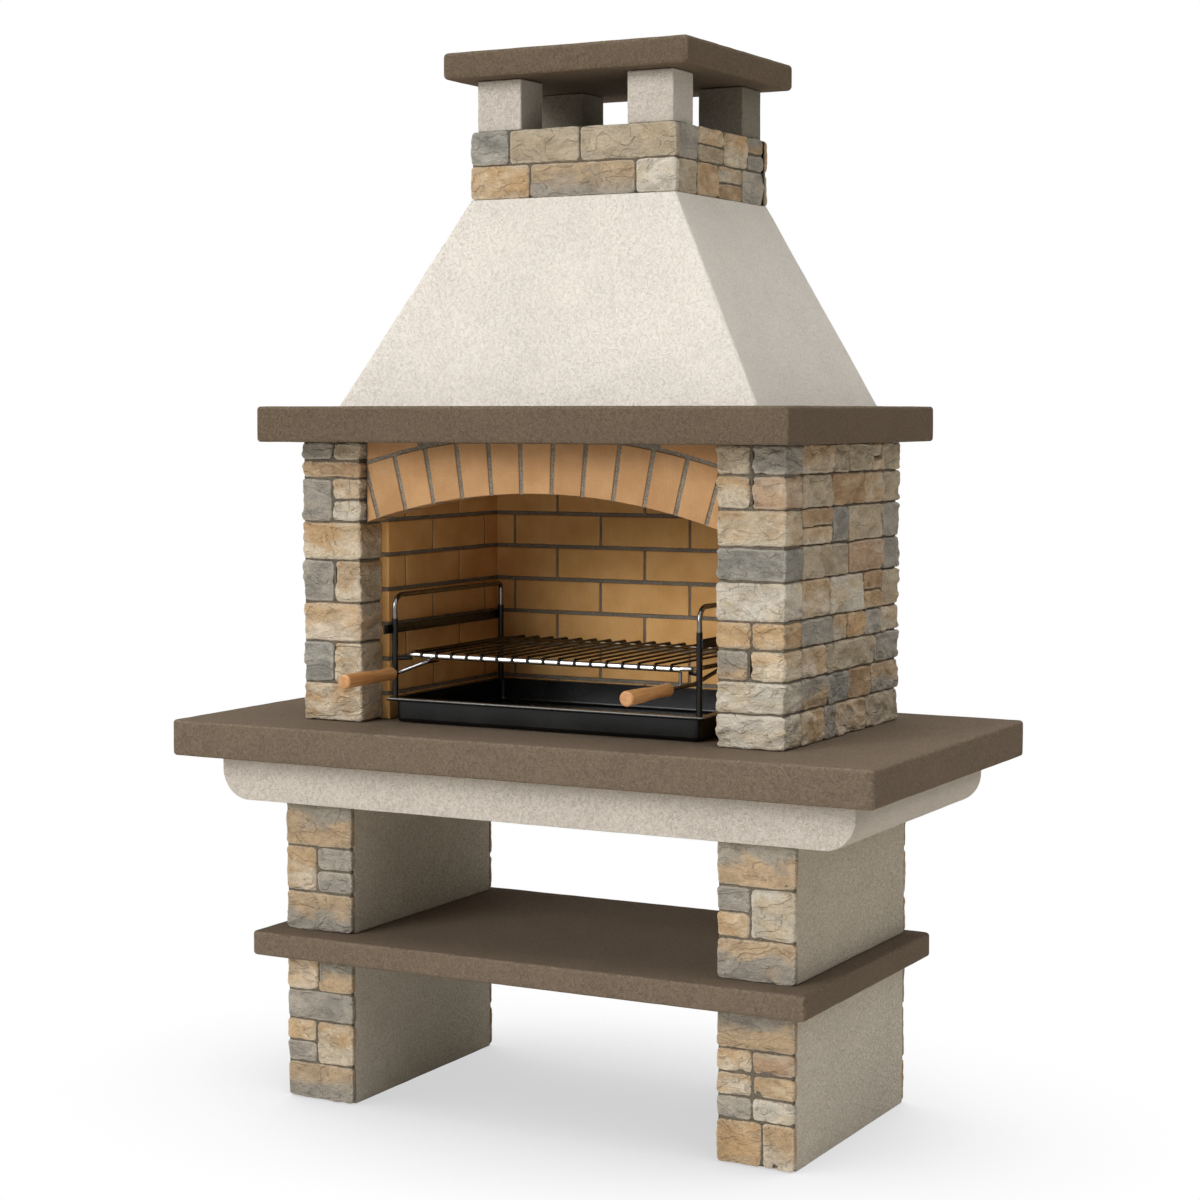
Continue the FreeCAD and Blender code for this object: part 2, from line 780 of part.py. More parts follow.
def side_frames():
    """Posts, top rails and flat bars on both sides of the tray."""
    foot = post_top - rail_socket
    rail_points = [Vector(post_x, post_front, foot), Vector(post_x, post_front, rail_top),
                   Vector(post_x, post_back, rail_top), Vector(post_x, post_back, foot)]
    rail_path = bent_path(rail_points, [rail_front_bend, rail_back_bend])
    rail = round_bar(rail_path, Vector(0, 0, 1), rail_diameter)
    bar_inner = post_x + post_diameter / 2 + fit_gap
    bar_top = post_top - bar_drop

    def flat_bar(front_reach):
        return box(bar_inner, bar_inner + bar_thickness, post_front - front_reach,
                   post_back + bar_back_reach, bar_top - bar_height, bar_top)

    right = {
        "front_post": side_post(post_front, grid_front),
        "back_post": side_post(post_back, grid_back),
        "top_rail": rail,
    }
    shapes = {"right_" + name: shape for name, shape in right.items()}
    shapes.update({"left_" + name: mirrored(shape) for name, shape in right.items()})
    shapes["right_flat_bar"] = flat_bar(right_bar_front_reach)
    shapes["left_flat_bar"] = mirrored(flat_bar(left_bar_front_reach))
    return shapes


def grid():
    """Rod frame with a stout front bar, and wires laid over it and turned down at both ends."""
    frame_prism = rounded_prism(grid_half, grid_front, grid_back, grid_corner_radius,
                                grid_z, grid_z + grid_rod)
    loop = Part.Wire(Part.__sortEdges__(edges_at(frame_prism, grid_z)))
    start = loop.OrderedVertexes[0].Point
    first = loop.OrderedEdges[0]
    section = Part.Wire(Part.makeCircle(grid_rod / 2, start, first.tangentAt(first.getParameterByLength(0))))
    rods = loop.makePipeShell([section], True, False)
    bar_left = front_bar_left_inset - grid_half
    bar_right = grid_half - front_bar_right_inset
    bar = Part.makeCylinder(front_bar / 2, bar_right - bar_left, Vector(bar_left, grid_front, front_bar_z),
                            Vector(1, 0, 0))
    frame = rods.fuse(bar).removeSplitter()
    wrap = grid_rod / 2 + fit_gap + wire_diameter / 2
    front_wrap = front_bar / 2 + fit_gap + wire_diameter / 2
    over = front_bar_z + front_wrap
    under = grid_z - wire_hook
    each_side = int((grid_half - grid_corner_radius) / wire_pitch)
    wires = []
    for step in range(-each_side, each_side + 1):
        x = step * wire_pitch
        points = [Vector(x, grid_front - front_wrap, under), Vector(x, grid_front - front_wrap, over),
                  Vector(x, grid_back + wrap, over), Vector(x, grid_back + wrap, under)]
        wires.append(round_bar(bent_path(points, [front_wrap, wrap]), Vector(0, 0, 1), wire_diameter))
    return {"grid_frame": frame, "grid_wires": group(wires)}


def grip(grip_x):
    """Turned wooden grip on a right-hand rod, with a bulb, a waist and a rounded end."""
    bore = handle_rod / 2 + fit_gap

    def at(radius, distance):
        return Vector(grip_x + radius, grip_rear - distance, grip_z)

    end = grip_length
    dome = grip_radius - grip_end_round
    lean = math.sqrt(0.5) * grip_end_round
    edges = [
        Part.LineSegment(at(0, rod_in_grip), at(bore, rod_in_grip)).toShape(),
        Part.LineSegment(at(bore, rod_in_grip), at(bore, 0)).toShape(),
        Part.LineSegment(at(bore, 0), at(ferrule_radius, 0)).toShape(),
        Part.Arc(at(ferrule_radius, 0), at(grip_shoulder, grip_shoulder_at),
                 at(grip_bulb, grip_bulb_at)).toShape(),
        Part.Arc(at(grip_bulb, grip_bulb_at), at(grip_waist, grip_waist_at),
                 at(grip_swell, grip_swell_at)).toShape(),
        Part.LineSegment(at(grip_swell, grip_swell_at), at(grip_radius, end - grip_end_round)).toShape(),
        Part.Arc(at(grip_radius, end - grip_end_round), at(dome + lean, end - grip_end_round + lean),
                 at(dome, end)).toShape(),
        Part.LineSegment(at(dome, end), at(0, end)).toShape(),
        Part.LineSegment(at(0, end), at(0, rod_in_grip)).toShape(),
    ]
    return Part.Face(Part.Wire(edges)).revolve(Vector(grip_x, grip_rear, grip_z), Vector(0, 1, 0), 360)


def fittings(grip_x):
    """Ferrule and wooden grip on a right-hand rod."""
    base = Vector(grip_x, grip_rear, grip_z)
    back = Vector(0, 1, 0)
    sleeve = Part.makeCylinder(ferrule_radius, ferrule_length, base, back)
    hole = Part.makeCylinder(handle_rod / 2 + fit_gap, ferrule_length, base, back)
    return {"ferrule": sleeve.cut(hole), "grip": grip(grip_x)}


def front_welded_rod(grip_x):
    """Right-hand rod that bends in and up to lie under the grid's front bar."""
    weld_x = grid_half - front_weld_inset
    points = [Vector(grip_x, grip_rear - rod_in_grip, grip_z),
              Vector(grip_x, grip_rear + ferrule_length + handle_straight, grip_z),
              Vector(weld_x, grid_front - handle_weld_lead, front_weld_z),
              Vector(weld_x, grid_front + handle_tail, front_weld_z)]
    return round_bar(bent_path(points, [handle_bend, handle_bend]), Vector(0, 1, 0), handle_rod)


def side_welded_rod(grip_x):
    """Right-hand rod that hangs from the front bar's end, runs on and rises to lie under the grid's side rod."""
    run_end = grid_front + side_rod_run
    rise_end = run_end + side_rod_rise
    points = [Vector(grip_x, grip_rear - rod_in_grip, grip_z),
              Vector(grip_x, run_end, grip_z),
              Vector(grid_half, rise_end, side_weld_z),
              Vector(grid_half, rise_end + handle_tail, side_weld_z)]
    rod = round_bar(bent_path(points, [handle_bend, handle_bend]), Vector(0, 1, 0), handle_rod)
    hanger = Part.makeCylinder(hanger_rod / 2, hanger_top - grip_z, Vector(grip_x, grid_front, grip_z))
    return rod.fuse(hanger).removeSplitter()


def handles():
    """Two lifting handles, the left one made on the right and mirrored."""
    left_x = grid_half - left_grip_inset
    right_x = grid_half - right_grip_inset
    left = fittings(left_x)
    left["handle_rod"] = front_welded_rod(left_x)
    right = fittings(right_x)
    right["handle_rod"] = side_welded_rod(right_x)
    shapes = {"right_" + name: shape for name, shape in right.items()}
    shapes.update({"left_" + name: mirrored(shape) for name, shape in left.items()})
    return shapes


def main():
    shapes = {"worktop_support": worktop_support(), "hood": hood(), "charcoal_tray": charcoal_tray()}
    for section in (legs(), slabs(), walls(), lining(), arch(), chimney(), side_frames(), grid(), handles()):
        shapes.update(section)
    os.makedirs("parts", exist_ok=True)
    for name, shape in shapes.items():
        shape.exportStep(os.path.join("parts", name + ".step"))
        state = "valid" if shape.isValid() else "BAD"
        print(name, len(shape.Solids), "solids", round(shape.Volume), "mm3", state)


main()
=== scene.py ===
"""Looks of a masonry fireplace grill: rock-faced stones, cast slabs, firebricks, steel, chrome and wood.

Metres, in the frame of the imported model: +Z up, front towards -Y.
"""
import bpy
import itertools
import math
import numpy as np
import random

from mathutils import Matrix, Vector, noise

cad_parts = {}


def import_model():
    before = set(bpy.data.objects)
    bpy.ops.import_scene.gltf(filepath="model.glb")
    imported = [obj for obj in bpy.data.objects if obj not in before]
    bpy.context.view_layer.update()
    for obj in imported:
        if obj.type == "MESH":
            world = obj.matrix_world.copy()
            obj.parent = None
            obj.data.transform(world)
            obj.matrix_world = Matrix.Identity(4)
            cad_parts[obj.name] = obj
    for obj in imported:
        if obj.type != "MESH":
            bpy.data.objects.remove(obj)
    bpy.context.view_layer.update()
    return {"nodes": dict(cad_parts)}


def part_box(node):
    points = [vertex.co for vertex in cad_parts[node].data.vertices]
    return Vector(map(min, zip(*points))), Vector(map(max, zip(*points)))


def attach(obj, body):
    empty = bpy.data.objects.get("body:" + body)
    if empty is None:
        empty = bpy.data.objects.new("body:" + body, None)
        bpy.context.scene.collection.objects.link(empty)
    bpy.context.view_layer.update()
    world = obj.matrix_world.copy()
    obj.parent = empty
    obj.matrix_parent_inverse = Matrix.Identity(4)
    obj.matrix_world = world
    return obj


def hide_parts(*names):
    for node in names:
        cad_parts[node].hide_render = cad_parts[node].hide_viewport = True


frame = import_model()
nodes = frame["nodes"]

# Camera, as the photograph was taken
camera_place = (2.60952, -4.83488, 1.52818)
camera_tilt = math.radians(90 - 4.286)
camera_turn = math.radians(28.211)
camera_lens = 75.235
camera_sensor = 36.0

# Stones
stone_edge = 0.0065
stone_outline = 0.010
stone_step = 0.0042
quoin_edge = 0.0085
quoin_outline = 0.011
quoin_step = 0.0038
edge_turn = 0.3
buried_share = 0.1
outline_wander = 0.0014
outline_scale = 24
joint_swell = 0.0014
course_tolerance = 0.004
top_course_band = 0.020
stone_lean = 0.3
stone_brightness = (0.84, 0.98)
patch_spread = 0.03

# Split faces of the stones
rock_depth = 0.0062
thin_rock_depth = 0.0044
relief_share = 0.8
relief_settle = 0.30
side_relief = 0.3
bedding_squeeze = 1.7
ledge_scale = 19
ledge_sharpness = 34
ledge_share = 0.70
flake_scale = 47
flake_sharpness = 22
flake_share = 0.28
facet_scale = 34
facet_share = 0.45
chip_height = 0.020
chip_depth = 0.9
chip_scale = 42
chip_strength = 1.6
chip_stretch = 0.3

# Mortar behind the stones
bed_step = 0.009
bed_roughness = 0.0009
bed_scale = 90
bed_inset = 0.004
wall_recess = 0.010
leg_recess = 0.005
collar_recess = 0.006

# How far apart the random places in the noise can lie
shift_reach = 40
which_reach = 60

# Bricks and the arch over the fire
brick_edge = 0.0028
brick_step = 0.018
brick_wander = 0.0005
brick_scale = 60
arch_rise = 0.068
arch_crown_drop = 0.107
arch_ring = 0.120
voussoir_width = 0.065
voussoir_joint = 0.008
voussoirs_each_side = 5
springer_joint = 0.003
springer_tip = 0.0015

# Slabs, cores and chimney blocks
slab_edge = 0.008
slab_corner = 0.016
slab_turns = 7
slab_step = 0.020
slab_wander = 0.0006
cap_edge = 0.011
core_edge = 0.004
core_step = 0.040
core_wander = 0.0005
block_scale = 26
worn_turn = 0.25

# Smoke hood and the opening under it
hood_edge = 0.010
hood_step = 0.030
hood_lip = 0.003
hood_wall = 0.045
hood_wander = 0.0008
hood_scale = 14
level_slope = 0.9
throat_ledge = 0.030

# Support under the worktop
support_round = 0.068
support_lift = 0.006
support_step = 0.030
support_edge = 0.003
support_turns = 15
support_scale = 16

# Tray and grid
steel_edge = 0.0012
# Band under the tray's top and its fade, where the rim's rounded edges get a painted highlight
rim_band = 0.008
rim_fade = 0.001
dark_back_start = -0.205
dark_back_fade = 0.03

# Grid lines across a rounded edge
round_lines = 4

# Lights: where each comes from, its strength and the width of its source in degrees
key_light = ((-0.36, -0.87, 0.36), 2.10, 32)
fill_light = ((0.68, -0.20, 0.72), 0.50, 50)
top_light = ((0, 0, 1), 1.75, 50)

# Sky and floor
sky_strength = 0.24
sky_colour = (1.0, 0.965, 0.915, 1)
plain_white = (1, 1, 1, 1)
floor_colour = (0.70, 0.67, 0.62, 1)
floor_reach = 30.0
shade_reach = 0.9
shade_darkest = 0.62


def tint(red, green, blue):
    """Linear colour of an 8-bit screen colour."""
    shares = [value / 255 for value in (red, green, blue)]
    return tuple(s / 12.92 if s <= 0.04045 else ((s + 0.055) / 1.055) ** 2.4 for s in shares)


# Stone colours: main tint, second tint, how much of the second shows, and how far it leans to the lower edge
stone_looks = {
    "white": (tint(226, 217, 201), tint(219, 201, 171), -0.05, 0.00),
    "cream": (tint(229, 213, 187), tint(206, 172, 130), -0.03, -0.20),
    "tan": (tint(207, 178, 141), tint(228, 212, 189), -0.01, 0.20),
    "ochre": (tint(207, 173, 131), tint(223, 202, 171), -0.03, 0.00),
    "brown": (tint(182, 150, 115), tint(207, 182, 150), -0.02, 0.10),
    "pink": (tint(192, 162, 132), tint(212, 191, 166), -0.03, 0.00),
    "beige": (tint(204, 189, 165), tint(190, 172, 144), -0.03, 0.00),
    "grey": (tint(172, 165, 154), tint(194, 184, 169), -0.03, 0.00),
    "slate": (tint(154, 151, 142), tint(185, 180, 169), -0.02, 0.00),
    "stain": (tint(172, 164, 150), tint(202, 176, 143), 0.02, 0.60),
    "rusty": (tint(203, 178, 146), tint(174, 166, 153), 0.02, 0.60),
}

# Stones in reading order, course by course, as seen from outside
pillar_rows = {
    "left": "grey beige  brown  grey tan  white  cream  grey cream  tan  slate cream  cream",
    "right": "beige grey  cream pink  cream  slate  white  ochre ochre  stain cream  white  white",
}
side_rows = {
    "right": "tan beige beige tan beige  tan  beige brown tan beige  brown slate beige grey  tan"
             "  beige pink grey  tan white brown beige  ochre  grey tan ochre grey tan"
             "  tan beige beige grey  stain slate brown rusty  tan grey tan beige",
    "left": "beige tan grey cream  brown  cream slate tan beige  tan beige brown grey  ochre cream grey tan"
            "  beige  grey tan cream brown  tan slate beige cream  tan  cream beige ochre grey",
}
upper_leg_rows = {
    "left": "stain  tan grey  grey  rusty",
    "right": "stain  grey white  ochre  rusty",
}
lower_leg_rows = {
    "left": "tan stain  grey  ochre cream  grey  rusty",
    "right": "stain  cream pink  tan ochre  grey white  ochre tan",
}
leg_back_rows = "beige grey  tan  cream stain"
collar_rows = {
    "front": "slate beige beige  ochre rusty white",
    "back": "tan grey cream  beige ochre slate",
    "right": "grey ochre cream stain  beige grey  beige ochre tan grey  brown",
    "left": "tan grey beige cream  ochre slate  cream tan grey beige  ochre",
}


class Shader:
    """A material's nodes, with short calls to add and join them."""

    def __init__(self, name):
        self.material = bpy.data.materials.new(name)
        self.material.use_nodes = True
        self.tree = self.material.node_tree
        self.surface = self.tree.nodes["Principled BSDF"]

    def add(self, kind, inputs=None, **settings):
        node = self.tree.nodes.new("ShaderNode" + kind)
        for key, value in settings.items():
            setattr(node, key, value)
        for key, value in (inputs or {}).items():
            self.feed(node.inputs[key], value)
        return node

    def feed(self, socket, value):
        if isinstance(value, bpy.types.NodeSocket):
            self.tree.links.new(value, socket)
        elif isinstance(value, tuple) and len(value) == 3 and socket.type == "RGBA":
            socket.default_value = value + (1,)
        else:
            socket.default_value = value

    def place(self, stretch=(1, 1, 1)):
        """Object coordinates, stretched."""
        source = self.add("TexCoord").outputs["Object"]
        return self.add("Mapping", {"Vector": source, "Scale": stretch}).outputs["Vector"]

    def attribute(self, name, output="Fac"):
        return self.add("Attribute", attribute_name=name).outputs[output]

    def clouds(self, place, scale, detail=3.0, which=None, distortion=0.0):
        """Noise from 0 to 1, on its own pattern for each value of which."""
        inputs = {"Vector": place, "Scale": scale, "Detail": detail, "Distortion": distortion}
        if which is None:
            return self.add("TexNoise", inputs).outputs["Fac"]
        node = self.add("TexNoise", noise_dimensions="4D")
        for key, value in {**inputs, "W": which}.items():
            self.feed(node.inputs[key], value)
        return node.outputs["Fac"]

    def remap(self, value, low, high, to_low=0.0, to_high=1.0):
        inputs = {"Value": value, "From Min": low, "From Max": high, "To Min": to_low, "To Max": to_high}
        return self.add("MapRange", inputs, interpolation_type="SMOOTHSTEP").outputs["Result"]

    def math(self, first, second, operation="ADD"):
        """Two values added, or joined by another operation."""
        node = self.add("Math", operation=operation)
        self.feed(node.inputs[0], first)
        self.feed(node.inputs[1], second)
        return node.outputs[0]

    def mix(self, factor, first, second, blend="MIX"):
        node = self.add("Mix", data_type="RGBA", blend_type=blend)
        self.feed(node.inputs["Factor"], factor)
        self.feed(node.inputs[6], first)
        self.feed(node.inputs[7], second)
        return node.outputs[2]

    def shade(self, colour, value, low, high):
        """Colour times a brightness that follows a 0 to 1 value."""
        return self.mix(1.0, colour, self.remap(value, 0.3, 0.7, low, high), "MULTIPLY")

    def bump(self, height, distance, strength=1.0):
        inputs = {"Height": height, "Distance": distance, "Strength": strength}
        return self.add("Bump", inputs).outputs["Normal"]

    def finish(self, **sockets):
        for key, value in sockets.items():
            self.feed(self.surface.inputs[key.replace("_", " ")], value)
        return self.material


def stone_material():
    """Split stone: two tints in soft blotches, wavy ledges, fine grain, painted shade in the hollows and on
    the ledge risers, and paler edges that are partly wear and partly a painted highlight.
    """
    shader = Shader("split_stone")
    which = shader.attribute("which")
    place = shader.place()
    strata = shader.place((1, 1, 1.9))
    blotch = shader.clouds(strata, 13, 3.0, which, 0.4)
    share = shader.remap(shader.math(blotch, shader.attribute("share")), 0.36, 0.66)
    colour = shader.mix(share, shader.attribute("tint", "Color"), shader.attribute("patch", "Color"))
    levels = shader.math(shader.clouds(strata, 10, 5.0, which, 0.7), 7.0, "MULTIPLY")
    within = shader.math(levels, 0.0, "FRACT")
    riser = shader.remap(within, 0.78, 1.0)
    terrace = shader.math(shader.math(levels, 0.0, "FLOOR"), riser)
    # Painted shade on the ledge risers, a little lighter on the flats between them.
    colour = shader.mix(1.0, colour, shader.remap(riser, 0.1, 1.0, 1.02, 0.93), "MULTIPLY")
    cloud = shader.clouds(strata, 70, 6.0, which, 1.0)
    colour = shader.shade(colour, cloud, 0.92, 1.06)
    worms = shader.clouds(place, 190, 3.0, which, 1.8)
    colour = shader.shade(colour, worms, 0.92, 1.07)
    grain = shader.clouds(place, 420, 3.0, which)
    colour = shader.shade(colour, grain, 0.91, 1.07)
    # Painted shade: darker where the relief sinks into hollows.
    painted_hollow_shade = shader.remap(shader.attribute("relief"), -1.0, 0.5, 0.80, 1.05)
    colour = shader.mix(1.0, colour, painted_hollow_shade, "MULTIPLY")
    # Paler rounded edges: partly wear, partly a painted highlight.
    edge = shader.math(shader.attribute("wear"), 0.32, "MULTIPLY")
    colour = shader.mix(edge, colour, tint(228, 219, 203))
    height = shader.math(shader.math(terrace, 0.6, "MULTIPLY"), shader.math(cloud, 1.3, "MULTIPLY"))
    height = shader.math(height, shader.math(worms, 0.7, "MULTIPLY"))
    height = shader.math(height, shader.math(grain, 0.3, "MULTIPLY"))
    return shader.finish(Base_Color=colour, Roughness=0.88, Specular_IOR_Level=0.25,
                         Normal=shader.bump(height, 0.0060, 0.95))


def concrete_material(name, dark, light, pit, pale_edge, pit_share, roughness):
    """Cast concrete: fine broken grooves, faint clouds, small pits and paler edges from wear."""
    shader = Shader(name)
    place = shader.place()
    grain = shader.clouds(place, 330, 4.0)
    worms = shader.clouds(place, 245, 3.0, None, 1.8)
    colour = shader.mix(shader.remap(shader.math(grain, worms), 0.78, 1.22), dark, light)
    cloud = shader.clouds(place, 7, 4.0)
    colour = shader.shade(colour, cloud, 0.972, 1.022)
    pits = shader.clouds(place, 170, 1.0, None, 0.6)
    swirl = shader.math(shader.clouds(place, 175, 1.0, None, 1.4), 0.5, "SUBTRACT")
    groove = shader.remap(shader.math(swirl, 0.0, "ABSOLUTE"), 0.0, 0.05, 1.0, 0.0)
    broken = shader.remap(shader.clouds(place, 130, 2.0), 0.42, 0.56)
    hole = shader.math(shader.remap(pits, 0.65, 0.72), shader.math(groove, broken, "MULTIPLY"), "MAXIMUM")
    colour = shader.mix(shader.math(hole, pit_share, "MULTIPLY"), colour, pit)
    chips = shader.remap(shader.clouds(place, 160, 3.0), 0.46, 0.60)
    edge = shader.math(shader.attribute("wear"), chips, "MULTIPLY")
    colour = shader.mix(shader.math(edge, 0.65, "MULTIPLY"), colour, pale_edge)
    height = shader.math(shader.math(worms, 1.05, "MULTIPLY"), shader.math(grain, 0.7, "MULTIPLY"))
    height = shader.math(height, shader.math(hole, 0.35, "MULTIPLY"), "SUBTRACT")
    return shader.finish(Base_Color=colour, Roughness=0.9, Specular_IOR_Level=0.06,
                         Normal=shader.bump(height, roughness, 0.8))


def brick_material(name, dark, light):
    """Firebrick: warm tan, a little different from brick to brick, with fine upright cutting lines."""
    shader = Shader(name)
    which = shader.attribute("which")
    cloud = shader.clouds(shader.place(), 14, 4.0, which)
    colour = shader.mix(shader.remap(cloud, 0.3, 0.7), dark, light)
    each = shader.clouds(shader.place((0, 0, 0)), 1, 0.0, which)
    colour = shader.shade(colour, each, 0.95, 1.04)
    cuts = shader.clouds(shader.place((1, 1, 0.03)), 420, 2.0)
    colour = shader.shade(colour, cuts, 0.975, 1.015)
    grain = shader.clouds(shader.place(), 400, 3.0)
    colour = shader.shade(colour, grain, 0.93, 1.04)
    height = shader.math(grain, cuts)
    return shader.finish(Base_Color=colour, Roughness=0.85, Specular_IOR_Level=0.25,
                         Normal=shader.bump(height, 0.0007, 0.6))


def mortar_material(name, dark, light):
    """Sandy mortar with faint clouds."""
    shader = Shader(name)
    place = shader.place()
    sand = shader.clouds(place, 300, 4.0)
    colour = shader.mix(shader.remap(sand, 0.32, 0.68), dark, light)
    cloud = shader.clouds(place, 18, 3.0)
    colour = shader.shade(colour, cloud, 0.88, 1.08)
    return shader.finish(Base_Color=colour, Roughness=0.95, Specular_IOR_Level=0.15,
                         Normal=shader.bump(sand, 0.0015, 0.8))


def enamel_material(name, highlight_above=None):
    """Satin black enamel on steel, with a painted grey highlight along rounded edges above a given level."""
    shader = Shader(name)
    place = shader.place()
    peel = shader.clouds(place, 180, 2.0)
    cloud = shader.clouds(place, 11, 3.0)
    colour = shader.mix(shader.remap(cloud, 0.3, 0.7), tint(7, 7, 6), tint(12, 12, 11))
    if highlight_above is not None:
        slope = shader.add("SeparateXYZ", {"Vector": shader.add("TexCoord").outputs["Normal"]}).outputs["Z"]
        level = shader.add("SeparateXYZ", {"Vector": place}).outputs["Z"]
        not_upright = shader.remap(slope, 0.15, 0.45)
        not_flat = shader.remap(slope, 0.80, 0.98, 1.0, 0.0)
        rounded_part = shader.math(not_upright, not_flat, "MULTIPLY")
        # Painted highlight: pale grey on the rim's rounded edges near its top.
        pale_edge = shader.math(rounded_part, shader.remap(level, highlight_above, highlight_above + rim_fade), "MULTIPLY")
        pale_edge = shader.math(pale_edge, shader.remap(peel, 0.25, 0.60, 0.55, 0.90), "MULTIPLY")
        colour = shader.mix(pale_edge, colour, tint(150, 148, 142))
    return shader.finish(Base_Color=colour, Roughness=shader.remap(cloud, 0.3, 0.7, 0.22, 0.30),
                         Specular_IOR_Level=0.29,
                         Normal=shader.bump(peel, 0.0002, 0.35))


def plated_material(name, dark, light, darker_from=None):
    """Plated rod with faint drawing marks, darker behind a given depth."""
    shader = Shader(name)
    marks = shader.clouds(shader.place((1, 0.08, 1)), 500, 2.0)
    colour = shader.mix(shader.remap(marks, 0.3, 0.7), dark, light)
    if darker_from is not None:
        depth = shader.add("SeparateXYZ", {"Vector": shader.place()}).outputs["Y"]
        darker_back = shader.remap(depth, darker_from, darker_from + dark_back_fade)
        colour = shader.mix(darker_back, colour, tint(72, 68, 62))
    return shader.finish(Base_Color=colour, Metallic=1.0,
                         Roughness=shader.remap(marks, 0.3, 0.7, 0.12, 0.22))


def wood_material():
    """Turned, oiled wood with its grain along the grip."""
    shader = Shader("honey_wood")
    along = shader.place((1, 0.06, 1))
    fibre = shader.clouds(along, 520, 4.0)
    rings = shader.clouds(along, 130, 2.0, None, 0.8)
    colour = shader.mix(shader.remap(rings, 0.35, 0.65), tint(178, 123, 72), tint(195, 143, 90))
    colour = shader.shade(colour, fibre, 0.90, 1.05)
    return shader.finish(Base_Color=colour, Roughness=0.42, Coat_Weight=0.15,
                         Normal=shader.bump(fibre, 0.0004, 0.5))


# Concretes: name, darker and lighter grain, pits, pale edges from wear, how much the pits show and depth of
# the relief
concrete_looks = {
    "brown": ("brown_concrete", tint(113, 99, 84), tint(131, 116, 100), tint(84, 71, 58),
              tint(146, 131, 114), 0.28, 0.0030),
    "dark_brown": ("dark_brown_concrete", tint(104, 90, 75), tint(122, 107, 90), tint(76, 64, 51),
                   tint(137, 122, 105), 0.28, 0.0030),
    "cream": ("cream_concrete", tint(226, 219, 209), tint(239, 233, 224), tint(191, 177, 157),
              tint(236, 231, 223), 0.20, 0.0028),
    # Moulded: a darker copy of the cream concrete, partly its own colour, partly painted shade under the
    # worktop and the cap.
    "moulded": ("moulded_painted_shade_concrete", tint(204, 196, 185), tint(220, 213, 203), tint(170, 156, 136),
                tint(224, 217, 206), 0.32, 0.0028),
    "leg": ("leg_concrete", tint(200, 190, 172), tint(226, 217, 201), tint(148, 135, 114),
            tint(226, 217, 201), 0.38, 0.0045),
    # Foot: a paler copy of the leg concrete for the lower leg cores, painted light against the shade they
    # stand in.
    "foot": ("painted_light_foot_concrete", tint(218, 208, 191), tint(242, 235, 221), tint(162, 149, 128),
             tint(242, 235, 221), 0.38, 0.0045),
    # Painted shade: a darker copy of the cream concrete for the back chimney blocks under the cap.
    "shade_darkened": ("shade_darkened_concrete", tint(128, 121, 108), tint(146, 139, 126), tint(104, 96, 83),
               tint(156, 148, 134), 0.4, 0.0018),
}

materials = {"stone": stone_material()}
for key, look in concrete_looks.items():
    materials[key] = concrete_material(*look)
materials.update({
    "brick": brick_material("arch_brick", tint(180, 136, 93), tint(194, 152, 108)),
    "lining": brick_material("firebrick", tint(219, 165, 100), tint(235, 185, 120)),
    "mortar": mortar_material("brick_mortar", tint(108, 101, 89), tint(148, 140, 127)),
    "pointing": mortar_material("stone_pointing", tint(86, 79, 69), tint(120, 112, 99)),
    "enamel": enamel_material("black_enamel"),
    # The tray's enamel carries a painted highlight along its rim.
    "tray_enamel": enamel_material("tray_enamel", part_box("charcoal_tray")[1].z - rim_band),
    "chrome": plated_material("chrome", tint(104, 103, 102), tint(132, 131, 130)),
    "bright": plated_material("bright_rod", tint(222, 222, 223), tint(238, 238, 238), dark_back_start),
    "wire": plated_material("dark_plated_wire", tint(46, 43, 39), tint(64, 60, 55)),
    "wood": wood_material(),
})


def solids(node):
    """Lowest and highest corner of each separate solid in a CAD node."""
    mesh = nodes[node].data
    places = np.array([vertex.co for vertex in mesh.vertices])
    numbers = {}
    welded = [numbers.setdefault(tuple(place), len(numbers)) for place in np.round(places, 5)]
    leader = list(range(len(numbers)))

    def find(number):
        while leader[number] != number:
            leader[number] = leader[leader[number]]
            number = leader[number]
        return number

    for polygon in mesh.polygons:
        first = find(welded[polygon.vertices[0]])
        for vertex in polygon.vertices[1:]:
            leader[find(welded[vertex])] = first
    groups = {}
    for place, number in zip(places, welded):
        groups.setdefault(find(number), []).append(place)
    return [(np.min(group, axis=0), np.max(group, axis=0)) for group in groups.values()]


def lines(low, high, rim, step, turns=round_lines):
    """Grid lines from low to high, closer where an edge is rounded by rim."""
    rim = min(rim, 0.45 * (high - low))
    turn = [rim * (1 - math.tan(math.pi / 4 * (1 - k / turns))) for k in range(turns)]
    count = max(1, round((high - low - 2 * rim) / step))
    inner = np.linspace(low + rim, high - rim, count + 1)
    return np.concatenate([low + np.array(turn), inner, high - np.array(turn[::-1])])


